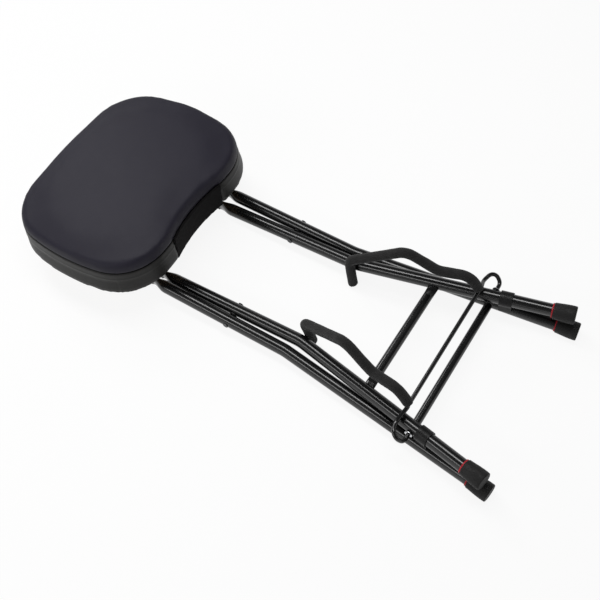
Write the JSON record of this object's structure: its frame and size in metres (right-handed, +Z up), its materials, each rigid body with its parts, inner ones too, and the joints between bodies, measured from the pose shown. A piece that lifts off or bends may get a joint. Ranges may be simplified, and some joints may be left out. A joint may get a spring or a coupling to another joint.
{
  "type": "guitar stool",
  "caption": "Folding padded stool on crossed tube legs, folded flat, with a swing-out padded wire cradle and a hollowed seat edge so it doubles as a guitar stand.",
  "frame": {"origin": "centre of the folded stool's footprint, on the floor it lies on", "axes": "+X from the seat to the feet, +Y to the sitter's left, +Z up, out of the seat's top when folded"},
  "size_m": [1.0688, 0.4324, 0.1545],
  "materials": {
    "black_enamel": "glossy powder coat",
    "bracket_enamel": "satin powder coat",
    "rod_enamel": "satin powder coat",
    "foot_rubber": "matte moulded rubber",
    "red_band": "matte moulded rubber",
    "clip_plastic": "satin moulded plastic",
    "spacer_plastic": "plain nylon",
    "dark_fastener": "blackened steel",
    "zinc": "bright zinc plate",
    "foam_sleeve": "closed-cell foam",
    "plywood": "plain plywood",
    "seat_vinyl": "grained vinyl over foam",
    "neck_pad": "matte non-slip sheet"
  },
  "bodies": {
    "rear_frame": {"rear_leg_left": "black_enamel", "rear_leg_right": "black_enamel", "rear_foot_left": "foot_rubber", "rear_foot_right": "foot_rubber", "rear_foot_band_left": "red_band", "rear_foot_band_right": "red_band", "scissor_bolt_left": "dark_fastener", "scissor_bolt_right": "dark_fastener", "scissor_nut_left": "dark_fastener", "scissor_nut_right": "dark_fastener", "scissor_spacer_left": "spacer_plastic", "scissor_spacer_right": "spacer_plastic", "rear_cross_bar": "black_enamel"},
    "front_frame": {"front_leg_left": "black_enamel", "front_leg_right": "black_enamel", "front_foot_left": "foot_rubber", "front_foot_right": "foot_rubber", "front_foot_band_left": "red_band", "front_foot_band_right": "red_band", "leg_clip_left": "clip_plastic", "leg_clip_right": "clip_plastic", "seat_rest_pin_left": "dark_fastener", "seat_rest_pin_right": "dark_fastener", "front_cross_bar": "black_enamel"},
    "seat": {"seat_board": "plywood", "seat_cushion": "seat_vinyl", "neck_rest_pad": "neck_pad", "seat_bracket_left": "bracket_enamel", "seat_bracket_right": "bracket_enamel", "bracket_screws_left": "dark_fastener", "bracket_screws_right": "dark_fastener", "seat_pivot_bolt_left": "dark_fastener", "seat_pivot_bolt_right": "dark_fastener", "seat_pivot_sleeve_left": "spacer_plastic", "seat_pivot_sleeve_right": "spacer_plastic", "seat_pivot_nut_left": "dark_fastener", "seat_pivot_nut_right": "dark_fastener"},
    "holder": {"holder_rod_left": "rod_enamel", "holder_rod_right": "rod_enamel", "holder_foam_left": "foam_sleeve", "holder_foam_right": "foam_sleeve", "holder_washer_left": "zinc", "holder_washer_right": "zinc", "holder_cross_rod": "rod_enamel"}
  },
  "joints": [
    {"name": "leg_fold", "type": "hinge", "parent": "rear_frame", "child": "front_frame", "pos_m": [-0.04541, 0, 0.02794], "axis": [0, -1, 0], "range_deg": [0, 58.7]},
    {"name": "seat_tilt", "type": "hinge", "parent": "rear_frame", "child": "seat", "pos_m": [-0.24038, 0, 0.03148], "axis": [0, -1, 0], "range_deg": [0, 118.27]},
    {"name": "holder_fold", "type": "hinge", "parent": "front_frame", "child": "holder", "pos_m": [0.36742, 0, 0.05145], "axis": [0, 1, 0], "range_deg": [0, 90]}
  ],
  "couplings": [
    {"joint": "seat_tilt", "follows": "leg_fold", "ratio": 2.0146}
  ]
}
